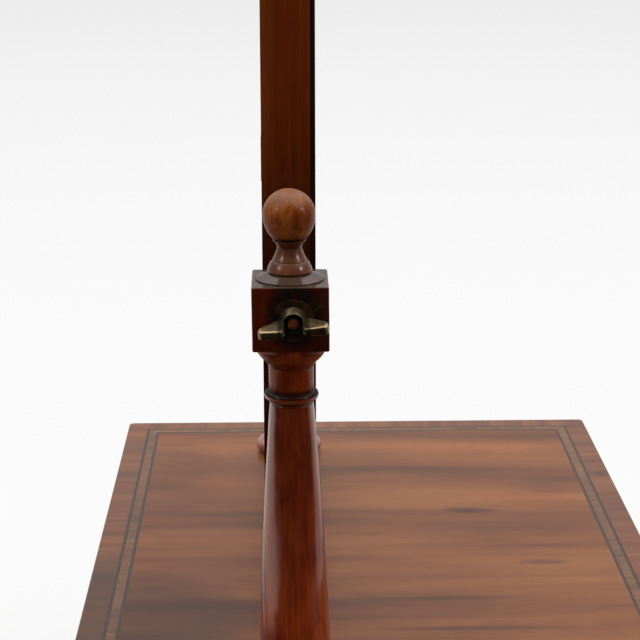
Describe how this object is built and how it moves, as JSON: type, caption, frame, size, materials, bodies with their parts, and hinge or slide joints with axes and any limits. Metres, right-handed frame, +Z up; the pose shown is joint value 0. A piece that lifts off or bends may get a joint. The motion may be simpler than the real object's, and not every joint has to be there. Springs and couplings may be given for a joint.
{
  "type": "dressing table mirror",
  "caption": "Swing mirror between turned posts with ball finials and brass wing nuts, on a mahogany box with inlaid top, drawers and bun feet, for a dressing table.",
  "frame": {"origin": "on the surface that the feet stand on, under the middle of the object's box, knobs included", "axes": "+X along the box to the right, +Y to the back (drawers open towards -Y), +Z up"},
  "size_m": [0.405, 0.2746, 0.439],
  "materials": {
    "brass": "aged, dull",
    "crossbanding": "French polished, cross grain",
    "ebony": "polished flush",
    "leather": "waxed",
    "mahogany": "French polished",
    "mirror": "silvered, bevelled",
    "oak": "bare, darkened by age",
    "pine": "bare, stained by age",
    "steel": "dull"
  },
  "bodies": {
    "base": {"back_panel": "pine", "bottom_board": "pine", "drawer_stops": "pine", "end_left": "mahogany", "end_right": "mahogany", "finial_left": "mahogany", "finial_right": "mahogany", "foot_back_left": "mahogany", "foot_back_right": "mahogany", "foot_front_left": "mahogany", "foot_front_right": "mahogany", "nut_washers": "brass", "partition": "mahogany", "plinth_front": "mahogany", "plinth_left": "mahogany", "plinth_right": "mahogany", "post_left": "mahogany", "post_right": "mahogany", "post_screws": "steel", "top_board": "mahogany", "top_crossbanding": "crossbanding", "top_field": "mahogany", "top_midband": "crossbanding", "top_stringing": "ebony"},
    "mirror": {"backboard": "pine", "backboard_screws": "steel", "bottom_rail": "mahogany", "ebony_edging": "ebony", "glass_blocks": "pine", "mirror_glass": "mirror", "mitre_keys": "mahogany", "pivot_plate_left": "brass", "pivot_plate_right": "brass", "pivot_stud_left": "brass", "pivot_stud_right": "brass", "plate_screws": "steel", "spacer_washers": "leather", "stile_left": "mahogany", "stile_right": "mahogany", "top_rail": "mahogany"},
    "wing_nut_left": {"wing_nut_left": "brass"},
    "wing_nut_right": {"wing_nut_right": "brass"},
    "drawer_left": {"drawer_left_back": "oak", "drawer_left_bottom": "oak", "drawer_left_front": "mahogany", "drawer_left_knob": "brass", "drawer_left_knob_nut": "brass", "drawer_left_side_left": "oak", "drawer_left_side_right": "oak", "drawer_left_stringing": "ebony"},
    "drawer_right": {"drawer_right_back": "oak", "drawer_right_bottom": "oak", "drawer_right_front": "mahogany", "drawer_right_knob": "brass", "drawer_right_knob_nut": "brass", "drawer_right_side_left": "oak", "drawer_right_side_right": "oak", "drawer_right_stringing": "ebony"}
  },
  "joints": [
    {"name": "mirror_swing", "type": "hinge", "parent": "base", "child": "mirror", "pos_m": [0, 0.04545, 0.287], "axis": [1, 0, 0], "continuous": true},
    {"name": "wing_nut_left_turn", "type": "hinge", "parent": "mirror", "child": "wing_nut_left", "pos_m": [-0.1555, 0.04545, 0.287], "axis": [-1, 0, 0], "range_deg": [0, 360]},
    {"name": "wing_nut_right_turn", "type": "hinge", "parent": "mirror", "child": "wing_nut_right", "pos_m": [0.1555, 0.04545, 0.287], "axis": [1, 0, 0], "range_deg": [0, 360]},
    {"name": "drawer_left_slide", "type": "slide", "parent": "base", "child": "drawer_left", "axis": [0, -1, 0], "range_m": [0, 0.165]},
    {"name": "drawer_right_slide", "type": "slide", "parent": "base", "child": "drawer_right", "axis": [0, -1, 0], "range_m": [0, 0.165]}
  ]
}
